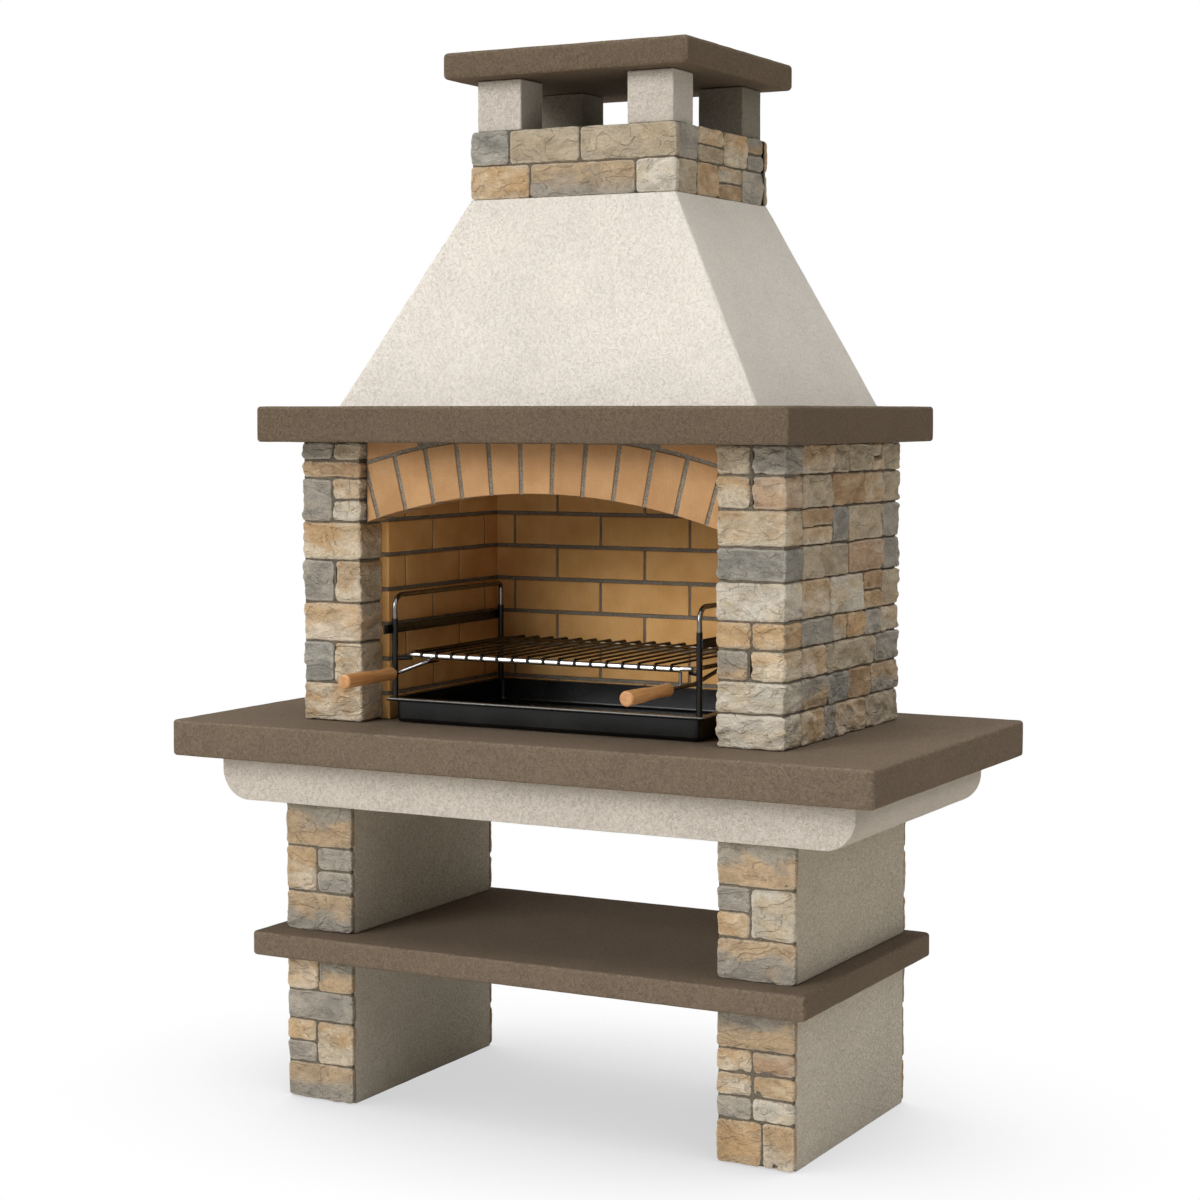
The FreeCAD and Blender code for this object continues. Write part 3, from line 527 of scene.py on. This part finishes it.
def skin(xs, ys, zs, present=None):
    """Points and outward quads on the skin of a block of grid cells, or of those that are present."""
    if present is None:
        present = np.ones((len(xs) - 1, len(ys) - 1, len(zs) - 1), bool)
    padded = np.pad(present, 1)
    quads = []
    for axis, first, second in ((0, 1, 2), (1, 2, 0), (2, 0, 1)):
        for side in (0, 1):
            beyond = np.roll(padded, 1 - 2 * side, axis)[1:-1, 1:-1, 1:-1]
            corner = np.argwhere(present & ~beyond)
            corner[:, axis] += side
            ring = []
            for along_first, along_second in ((0, 0), (1, 0), (1, 1), (0, 1)):
                point = corner.copy()
                point[:, first] += along_first
                point[:, second] += along_second
                ring.append(point)
            if side == 0:
                ring.reverse()
            quads.append(np.stack(ring, axis=1))
    corners = np.concatenate(quads).reshape(-1, 3)
    kept, order = np.unique(corners, axis=0, return_inverse=True)
    points = np.column_stack([xs[kept[:, 0]], ys[kept[:, 1]], zs[kept[:, 2]]])
    return points, order.reshape(-1, 4)


def rounded(points, low, high, radius):
    """Points of a box's skin, with its edges and corners rounded."""
    core = np.clip(points, np.asarray(low) + radius, np.asarray(high) - radius)
    out = points - core
    reach = np.abs(out).max(axis=1, keepdims=True)
    length = np.linalg.norm(out, axis=1, keepdims=True)
    return core + out * reach / np.maximum(length, 1e-9)


def pillow(points, size, outline, edge, both_ends=False):
    """Skin of a stone in (across, up, out): rounded outline, rounded front edge and flat or rounded back."""
    width, height, depth = size
    across, up, out = points.T
    inset = np.minimum.reduce([across, width - across, up, height - up])
    past_inset = np.clip(edge - inset, 0, None)
    ahead = (out > depth / 2) | (not both_ends)
    past_depth = np.clip(edge - np.where(ahead, depth - out, out), 0, None)
    turn = np.maximum(past_inset, past_depth) / np.maximum(np.hypot(past_inset, past_depth), 1e-9)
    both = (past_inset > 0) & (past_depth > 0)
    drawn_in = np.where(both, past_inset * (1 - turn), 0)
    settled = edge - past_depth * turn
    out = np.where(both, np.where(ahead, depth - settled, settled), out)
    flat = np.column_stack([across, up])
    limit = np.array([width, height])
    radius = min(outline, 0.48 * width, 0.48 * height)
    core = np.clip(flat, radius, limit - radius)
    away = flat - core
    reach = np.abs(away).max(axis=1)
    scale = (reach - drawn_in) / np.maximum(np.linalg.norm(away, axis=1), 1e-9)
    flat = core + away * np.where(reach > 0, scale, 1)[:, None]
    return np.column_stack([flat, out])


def point_normals(points, faces):
    """Unit normals at the points of a mesh of quads."""
    diagonals = points[faces[:, 2]] - points[faces[:, 0]], points[faces[:, 3]] - points[faces[:, 1]]
    across = np.cross(*diagonals)
    normals = np.zeros_like(points)
    for corner in range(4):
        np.add.at(normals, faces[:, corner], across)
    return normals / np.maximum(np.linalg.norm(normals, axis=1, keepdims=True), 1e-12)


def wander(points, scale, shift=(0, 0, 0)):
    """Smooth noise from about -1 to 1 at each point."""
    offset = Vector(shift)
    return np.array([noise.noise(Vector(point) * scale + offset) for point in points])


def pattern_shift(draw):
    """A random place in the noise."""
    return [draw.uniform(0, shift_reach) for k in range(3)]


def sharpened(value, sharpness):
    """A smooth value turned into a step of height 1 about 0."""
    return 1 / (1 + math.exp(-sharpness * value)) - 0.5


def rock(points, shift):
    """Relief of a split face, from about -1 to 1: stepped ledges, smaller flakes and broad facets."""
    offset = Vector(shift)
    heights = []
    for across, up, out in points:
        place = Vector((across, up * bedding_squeeze, out))
        ledge = sharpened(noise.noise(place * ledge_scale + offset), ledge_sharpness)
        flake = sharpened(noise.noise(place * flake_scale - offset), flake_sharpness)
        facet = noise.fractal(place * facet_scale + offset, 1.0, 2.0, 3)
        heights.append(ledge_share * ledge + flake_share * flake + facet_share * facet)
    return np.clip(np.array(heights), -1, 1)


class Mesh:
    """Collects points, faces and per-point values of one piece made of many blocks."""

    def __init__(self):
        self.points = []
        self.faces = []
        self.values = {}
        self.count = 0

    def add(self, points, faces, **values):
        self.points.append(points)
        self.faces.append(faces + self.count)
        self.count += len(points)
        for key, value in values.items():
            self.values.setdefault(key, []).append(value)

    def piece(self, name, material, body="masonry", replaced=()):
        """Makes the piece, with its material and body, in place of the replaced nodes."""
        mesh = bpy.data.meshes.new(name)
        mesh.from_pydata(np.concatenate(self.points).tolist(), [], np.concatenate(self.faces).tolist())
        mesh.shade_smooth()
        for key, parts in self.values.items():
            values = np.concatenate(parts)
            if values.ndim == 2:
                layer = mesh.attributes.new(key, "FLOAT_COLOR", "POINT")
                opaque = np.column_stack([values, np.ones(len(values))])
                layer.data.foreach_set("color", opaque.astype(np.float32).ravel())
            else:
                layer = mesh.attributes.new(key, "FLOAT", "POINT")
                layer.data.foreach_set("value", values.astype(np.float32))
        mesh.materials.append(materials[material])
        made = bpy.data.objects.new(name, mesh)
        bpy.context.scene.collection.objects.link(made)
        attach(made, body)
        if replaced:
            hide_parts(*replaced)
        return made


facings = {"front": (0, -1, 0), "back": (0, 1, 0), "right": (1, 0, 0), "left": (-1, 0, 0)}


def facing_of(box, centre):
    """The side that a thin stone faces, seen from the middle of its node."""
    low, high = box
    axis = int(np.argmin(high - low))
    ahead = (low + high)[axis] / 2 > centre[axis]
    return {(0, True): "right", (0, False): "left", (1, True): "back", (1, False): "front"}[axis, bool(ahead)]


def axes_of(side):
    """Across, up and out of a wall as seen from outside."""
    out = np.array(facings[side], float)
    up = np.array((0.0, 0.0, 1.0))
    return np.cross(up, out), up, out


def local_frame(box, axes):
    """Corner and size of a box in (across, up, out)."""
    low, high = box
    corner = sum(axis * (low @ np.abs(axis) if axis.sum() > 0 else -(high @ np.abs(axis))) for axis in axes)
    return corner, [float(np.abs(axis) @ (high - low)) for axis in axes]


def reading_order(boxes, across):
    """Boxes course by course from the top, each course from left to right."""
    def place(box):
        low, high = box
        return -round(high[2] / course_tolerance), float((low + high) @ across)
    return sorted(boxes, key=place)


def lay_stones(mesh, boxes, side, rows, outline, edge, step, depth, draw, exposed_sides):
    """Rock-faced stones in place of a panel's boxes, coloured in reading order."""
    axes = axes_of(side)
    across, up, out = axes
    lowest = np.min([box[0] for box in boxes], axis=0)
    highest = np.max([box[1] for box in boxes], axis=0)
    swell = joint_swell * (1 - np.abs(out))
    for box, look in zip(reading_order(boxes, across), itertools.cycle(rows.split())):
        box = np.maximum(box[0] - swell, lowest), np.minimum(box[1] + swell, highest)
        corner, size = local_frame(box, axes)
        points, faces = skin(*[lines(0, length, edge, step) for length in size])
        points = pillow(points, size, outline, edge)
        shift = pattern_shift(draw)
        normals = point_normals(points, faces)
        for k in (0, 1):
            sway = wander(points, outline_scale, (shift[k], shift[2], shift[0] + k))
            points[:, k] += outline_wander * sway
        near_bed = np.clip(1 - points[:, 1] / chip_height, 0, 1)
        chips = chip_strength * wander(points * (1, chip_stretch, 1), chip_scale, shift[::-1])
        relief = rock(points, shift) - chip_depth * near_bed * np.clip(chips, 0, 1)
        if exposed_sides:
            weight = 1 - (1 - side_relief) * np.abs(normals[:, 1])
        else:
            weight = side_relief + (1 - side_relief) * np.clip(normals[:, 2], 0, 1)
        weight = weight * (points[:, 2] > edge * buried_share)
        # The wear value peaks on rounded edges; on the stones it pales them, partly as wear and partly as a
        # painted highlight.
        turned = 1 - np.clip(normals[:, 2], 0, 1)
        wear = np.clip(1 - np.abs(turned - edge_turn) / edge_turn, 0, 1)
        tilt = [draw.uniform(-stone_lean, stone_lean) for k in range(2)]
        lean = tilt[0] * (points[:, 0] / size[0] - 0.5) + tilt[1] * (points[:, 1] / size[1] - 0.5)
        moved = depth * weight * (relief_share * relief + lean - relief_settle)
        points = points + normals * moved[:, None]
        main, patch, share, fall = stone_looks[look]
        brightness = draw.uniform(*stone_brightness)
        share = share + draw.uniform(-patch_spread, patch_spread) + fall * (0.5 - points[:, 1] / size[1])
        placed = corner + points @ np.array(axes)
        count = len(points)
        mesh.add(placed, faces, tint=np.tile(np.array(main) * brightness, (count, 1)),
                 patch=np.tile(np.array(patch) * brightness, (count, 1)), share=share, relief=relief * weight,
                 wear=wear, which=np.full(count, draw.uniform(0, which_reach)))


def lay_bed(mesh, boxes, side, recess, draw):
    """Rough mortar behind a panel's stones, set back from their faces."""
    axes = axes_of(side)
    low = np.min([box[0] for box in boxes], axis=0)
    high = np.max([box[1] for box in boxes], axis=0)
    corner, size = local_frame((low, high), axes)
    ends = [(bed_inset, size[0] - bed_inset), (bed_inset, size[1] - bed_inset), (0, size[2] - recess)]
    points, faces = skin(*[np.linspace(start, end, max(2, round((end - start) / bed_step)))
                           for start, end in ends])
    lumps = bed_roughness * wander(points, bed_scale, pattern_shift(draw)) * (points[:, 2] > 0)
    points = points + point_normals(points, faces) * lumps[:, None]
    mesh.add(corner + points @ np.array(axes), faces)


def ending_at(boxes, top):
    """Boxes of stones, with the top course cut or raised to a given level."""
    highest = max(high[2] for low, high in boxes)
    return [(low, np.append(high[:2], top if high[2] > highest - top_course_band else high[2]))
            for low, high in boxes]


def stone_panels(node, rows, recess, strength, name, top=None):
    """One piece of stones and one of mortar for a node whose panels face several ways."""
    draw = random.Random(name)
    boxes = solids(node)
    if top is not None:
        boxes = ending_at(boxes, top)
    low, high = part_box(node)
    centre = (np.array(low) + np.array(high)) / 2
    stones = Mesh()
    beds = Mesh()
    for side in rows:
        panel = [box for box in boxes if len(rows) == 1 or facing_of(box, centre) == side]
        lay_stones(stones, panel, side, rows[side], stone_outline, stone_edge, stone_step, strength, draw,
                   False)
        lay_bed(beds, panel, side, recess, draw)
    stones.piece(name, "stone", replaced=[node])
    beds.piece(name + "_pointing", "pointing")


def pillar(side):
    """Corner blocks at the front of a firebox wall."""
    node = side + "_pillar_stones"
    draw = random.Random(node)
    stones = Mesh()
    lay_stones(stones, solids(node), "front", pillar_rows[side], quoin_outline, quoin_edge, quoin_step,
               rock_depth, draw, True)
    stones.piece(side + "_pillar_blocks", "stone", replaced=[node])


def pierced(grid, hole):
    """Adds an upright hole's sides to a block's grid lines, and tells which cells are left."""
    for k in (0, 1):
        grid[k] = np.unique(np.concatenate([grid[k], hole[k]]))
    middles = [(axis[1:] + axis[:-1]) / 2 for axis in grid]
    inside = [(middles[k] > hole[k][0]) & (middles[k] < hole[k][1]) for k in (0, 1)]
    gone = inside[0][:, None, None] & inside[1][None, :, None]
    return np.broadcast_to(~gone, [len(middle) for middle in middles])


def block(name, node, material, edge, step, sway, top=None, hole=None, body="masonry", corner=None):
    """Cast or cut block with rounded, slightly uneven edges and broader corners, in place of a node."""
    low, high = [np.array(place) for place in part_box(node)]
    if top is not None:
        high[2] = top
    grid = [lines(low[k], high[k], edge, step) for k in range(3)]
    if corner is not None:
        grid[:2] = [lines(low[k], high[k], corner, step, slab_turns) for k in (0, 1)]
    present = None if hole is None else pierced(grid, hole)
    points, faces = skin(*grid, present)
    if corner is None:
        points = rounded(points, low, high, edge)
    else:
        points = low + pillow(points - low, high - low, corner, edge, True)
    normals = point_normals(points, faces)
    turned = 1 - np.abs(normals).max(axis=1)
    wear = np.clip(turned / worn_turn, 0, 1)
    moved = sway * wander(points, block_scale, (low[0], low[2], high[1])) - sway
    points = points + normals * moved[:, None]
    mesh = Mesh()
    mesh.add(points, faces, wear=wear)
    return mesh.piece(name, material, body, [node])


def soft_brick(size, step, draw):
    """Points and faces of a brick with softened, slightly uneven edges, in (across, up, out)."""
    points, faces = skin(*[lines(0, length, brick_edge, step) for length in size])
    points = pillow(points, size, brick_edge, brick_edge)
    moved = brick_wander * (wander(points, brick_scale, pattern_shift(draw)) - 1)
    return points + point_normals(points, faces) * moved[:, None], faces


def lay_bricks(mesh, boxes, side, draw):
    """Firebricks with softened edges in place of a panel's boxes."""
    axes = axes_of(side)
    for box in reading_order(boxes, axes[0]):
        corner, size = local_frame(box, axes)
        points, faces = soft_brick(size, brick_step, draw)
        which = np.full(len(points), draw.uniform(0, which_reach))
        mesh.add(corner + points @ np.array(axes), faces, which=which)


def lining(node, side, name):
    """Firebricks of one wall of the firebox, which face the given side."""
    mesh = Mesh()
    lay_bricks(mesh, solids(node), side, random.Random(name))
    mesh.piece(name, "lining", replaced=[node])


def arch():
    """Wedge bricks of the flat arch, trimmed where they meet the mantel and the pillars."""
    low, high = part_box("arch_mortar")
    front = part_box("arch_bricks")[0].y
    depth = high.y - front
    inner_radius = (arch_rise ** 2 + high.x ** 2) / (2 * arch_rise)
    centre = high.z - arch_crown_drop - inner_radius
    pitch = (voussoir_width + voussoir_joint) / inner_radius
    half_angle = voussoir_width / 2 / inner_radius
    draw = random.Random("arch")
    mesh = Mesh()
    size = (voussoir_width, arch_ring, depth)

    def brick(turn):
        """Brick whose outline turn(across, out) gives as angles and radii."""
        points, faces = soft_brick(size, brick_step / 2, draw)
        angle, radius = turn(points[:, 0] / voussoir_width, points[:, 1] / arch_ring)
        placed = np.column_stack([radius * np.sin(angle), front + depth - points[:, 2],
                                  centre + radius * np.cos(angle)])
        mesh.add(placed, faces, which=np.full(len(points), draw.uniform(0, which_reach)))

    def wedge(number):
        def turn(across, out):
            angle = number * pitch + (2 * across - 1) * half_angle
            room = (high.z - centre) / np.cos(angle) - inner_radius
            return angle, inner_radius + out * np.minimum(arch_ring, room)
        return turn

    def springer(side):
        inner_side = (voussoirs_each_side + 1) * pitch - half_angle
        plane = high.x - springer_joint
        reach = (plane - springer_tip) / math.sin(inner_side) - inner_radius

        def turn(across, out):
            radius = inner_radius + out * reach
            share = across if side > 0 else 1 - across
            angle = inner_side + share * (np.arcsin(plane / radius) - inner_side)
            return side * angle, radius
        return turn

    for number in range(-voussoirs_each_side, voussoirs_each_side + 1):
        brick(wedge(number))
    for side in (-1, 1):
        brick(springer(side))
    mesh.piece("arch_voussoirs", "brick", replaced=["arch_bricks"])


def hood():
    """Tapering smoke hood, hollow and open at both ends, with softened hips."""
    low, high = [np.array(corner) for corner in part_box("hood")]
    collar_low, collar_high = [np.array(corner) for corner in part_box("collar_stones")]
    grid = [lines(low[k], high[k], hood_edge, hood_step) for k in range(3)]
    grid[2] = lines(low[2], high[2], hood_lip, hood_step)
    walls = [(low[k] + hood_wall, high[k] - hood_wall) for k in (0, 1)]
    present = pierced(grid, walls)
    points, faces = skin(*grid, present)
    plan = rounded(points[:, :2], low[:2], high[:2], hood_edge)
    rise = ((points[:, 2] - low[2]) / (high[2] - low[2]))[:, None]
    share = (plan - low[:2]) / (high[:2] - low[:2])
    top = collar_low[:2] + share * (collar_high[:2] - collar_low[:2])
    points = np.column_stack([plan * (1 - rise) + top * rise, points[:, 2]])
    normals = point_normals(points, faces)
    upright = np.abs(normals[:, 2]) < level_slope
    moved = hood_wander * (wander(points, hood_scale) - 1) * upright
    points = points + normals * moved[:, None]
    mesh = Mesh()
    mesh.add(points, faces, wear=np.zeros(len(points)))
    mesh.piece("smoke_hood", "cream", replaced=["hood"])


def support(foot):
    """Support under the worktop: a plain front, and a quarter round along the foot of both ends."""
    low, high = [np.array(corner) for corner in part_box("worktop_support")]
    low[2] = foot
    grid = [lines(low[k], high[k], support_edge, support_step) for k in range(3)]
    turn = support_round * (1 - np.tan(np.linspace(math.pi / 4, 0, support_turns)))
    grid[0] = np.unique(np.concatenate([grid[0], low[0] + turn, high[0] - turn]))
    grid[2] = np.unique(np.concatenate([grid[2], low[2] + turn]))
    points, faces = skin(*grid)
    points = rounded(points, low, high, support_edge)
    ends = [0, 2]
    points[:, ends] = rounded(points[:, ends], low[ends], high[ends] + (0, support_round), support_round)
    normals = point_normals(points, faces)
    moved = core_wander * (wander(points, support_scale) - 1)
    points = points + normals * moved[:, None]
    mesh = Mesh()
    mesh.add(points, faces, wear=np.zeros(len(points)))
    # The support's moulded concrete is darker partly as painted shade under the worktop.
    mesh.piece("support_moulding", "moulded", replaced=["worktop_support"])


def paint(node, material):
    """A carried-over CAD node keeps its shape and gets a material."""
    owner = nodes[node]
    if not owner.material_slots:
        owner.data.materials.append(materials[material])
    for slot in owner.material_slots:
        slot.material = materials[material]


def masonry():
    """All fixed pieces."""
    lining_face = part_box("right_lining_bricks")[0].x
    pillar_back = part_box("right_pillar_stones")[1].y
    back_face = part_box("back_lining_bricks")[0].y
    throat = [(throat_ledge - lining_face, lining_face - throat_ledge),
              (pillar_back + throat_ledge, back_face - throat_ledge)]
    for node in ("lower_shelf", "worktop"):
        block(node + "_slab", node, "brown", slab_edge, slab_step, slab_wander,
              corner=slab_corner)
    block("mantel_slab", "mantel", "dark_brown", slab_edge, slab_step, slab_wander,
          hole=throat)
    block("cap_slab", "chimney_cap", "dark_brown", cap_edge, slab_step, slab_wander)
    support_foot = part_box("worktop_support")[0].z + support_lift
    for side in ("left", "right"):
        pillar(side)
        stone_panels(side + "_side_stones", {side: side_rows[side]}, wall_recess, rock_depth,
                     side + "_wall_facing")
        for part, rows in (("upper", upper_leg_rows), ("lower", lower_leg_rows)):
            leg = side + "_" + part + "_leg"
            upper = part == "upper"
            stone_panels(leg + "_stones", {"front": rows[side], "back": leg_back_rows}, leg_recess,
                         thin_rock_depth, leg + "_facing", support_foot if upper else None)
            # Lower leg cores take the paler foot concrete, which is painted light.
            block(leg + "_core", leg, "leg" if upper else "foot", core_edge,
                  core_step, core_wander, support_foot + core_edge if upper else None)
        block(side + "_wall_core", side + "_wall", "leg", core_edge, core_step, core_wander)
        # Front blocks: moulded concrete, partly painted shade; back blocks: darker concrete that is painted
        # shade under the cap.
        for row, material in (("front", "moulded"), ("back", "shade_darkened")):
            name = side + "_" + row + "_block"
            block(name + "_cast", name, material, core_edge, core_step / 2, core_wander)
        paint(side + "_pillar_pointing", "pointing")
        paint(side + "_lining_mortar", "mortar")
    lining("left_lining_bricks", "right", "left_lining")
    lining("right_lining_bricks", "left", "right_lining")
    lining("back_lining_bricks", "front", "back_lining")
    arch()
    hood()
    block("back_wall_core", "back_wall", "leg", core_edge, core_step, core_wander)
    stone_panels("collar_stones", collar_rows, collar_recess, thin_rock_depth, "collar_facing")
    support(support_foot)
    paint("chimney_collar", "mortar")
    paint("arch_mortar", "mortar")
    paint("back_lining_mortar", "mortar")
    paint("spandrel_bricks", "brick")


def ironwork():
    """The fire tray with its posts, bars and rails, and the cooking grid with its handles."""
    paint("charcoal_tray", "tray_enamel")
    paint("grid_frame", "bright")
    paint("grid_wires", "wire")
    for side in ("left", "right"):
        for part in ("front_post", "back_post"):
            paint(side + "_" + part, "enamel")
        block(side + "_side_bar", side + "_flat_bar", "enamel", steel_edge, core_step, 0.0,
              body="fire_tray")
        paint(side + "_top_rail", "chrome")
        paint(side + "_handle_rod", "chrome")
        paint(side + "_ferrule", "chrome")
        paint(side + "_grip", "wood")


def camera():
    """Camera at the photograph's place."""
    lens = bpy.data.cameras.new("camera")
    lens.lens = camera_lens
    lens.sensor_width = camera_sensor
    made = bpy.data.objects.new("camera", lens)
    made.location = camera_place
    made.rotation_euler = (camera_tilt, 0, camera_turn)
    bpy.context.scene.collection.objects.link(made)
    bpy.context.scene.camera = made


def sun(name, direction, strength, angle):
    """Soft light that comes from a direction."""
    light = bpy.data.lights.new(name, "SUN")
    light.energy = strength
    light.angle = math.radians(angle)
    made = bpy.data.objects.new(name, light)
    made.rotation_euler = Vector(direction).to_track_quat("Z", "Y").to_euler()
    bpy.context.scene.collection.objects.link(made)


def seen_rays(tree):
    """1 for what the camera, a reflection or a see-through surface looks at, and 0 for light."""
    path = tree.nodes.new("ShaderNodeLightPath")
    rays = path.outputs["Is Camera Ray"]
    for other in ("Is Glossy Ray", "Is Transmission Ray"):
        either = tree.nodes.new("ShaderNodeMath")
        either.operation = "MAXIMUM"
        tree.links.new(rays, either.inputs[0])
        tree.links.new(path.outputs[other], either.inputs[1])
        rays = either.outputs[0]
    return rays


def world():
    """Even light, and plain white where the camera or a bright surface sees past the object."""
    made = bpy.data.worlds.new("studio")
    bpy.context.scene.world = made
    made.use_nodes = True
    tree = made.node_tree
    tree.nodes.clear()
    output = tree.nodes.new("ShaderNodeOutputWorld")
    seen = tree.nodes.new("ShaderNodeMixShader")
    light = tree.nodes.new("ShaderNodeBackground")
    light.inputs["Strength"].default_value = sky_strength
    light.inputs["Color"].default_value = sky_colour
    backdrop = tree.nodes.new("ShaderNodeBackground")
    backdrop.inputs["Color"].default_value = plain_white
    tree.links.new(seen_rays(tree), seen.inputs[0])
    tree.links.new(light.outputs[0], seen.inputs[1])
    tree.links.new(backdrop.outputs[0], seen.inputs[2])
    tree.links.new(seen.outputs[0], output.inputs["Surface"])


def floor():
    """Pale floor: seen as white, with a soft shade where the object stands close over it."""
    low, high = -floor_reach, floor_reach
    corners = [(low, low, 0), (high, low, 0), (high, high, 0), (low, high, 0)]
    mesh = bpy.data.meshes.new("floor")
    mesh.from_pydata(corners, [], [(0, 1, 2, 3)])
    shader = Shader("pale_floor")
    tree = shader.tree
    tree.nodes.remove(shader.surface)
    open_sky = shader.add("AmbientOcclusion", {"Distance": shade_reach}, samples=16).outputs["AO"]
    shade = shader.remap(open_sky, 0.15, 0.95, shade_darkest, 1.0)
    matt = shader.add("BsdfDiffuse", {"Color": floor_colour})
    bright = shader.add("Emission", {"Color": plain_white, "Strength": shade})
    seen = shader.add("MixShader", {"Fac": seen_rays(tree)})
    tree.links.new(matt.outputs[0], seen.inputs[1])
    tree.links.new(bright.outputs[0], seen.inputs[2])
    tree.links.new(seen.outputs[0], tree.nodes["Material Output"].inputs["Surface"])
    mesh.materials.append(shader.material)
    made = bpy.data.objects.new("floor", mesh)
    bpy.context.scene.collection.objects.link(made)


masonry()
ironwork()
camera()
sun("key", *key_light)
sun("fill", *fill_light)
sun("top", *top_light)
world()
floor()
bpy.context.scene.view_settings.view_transform = "Standard"
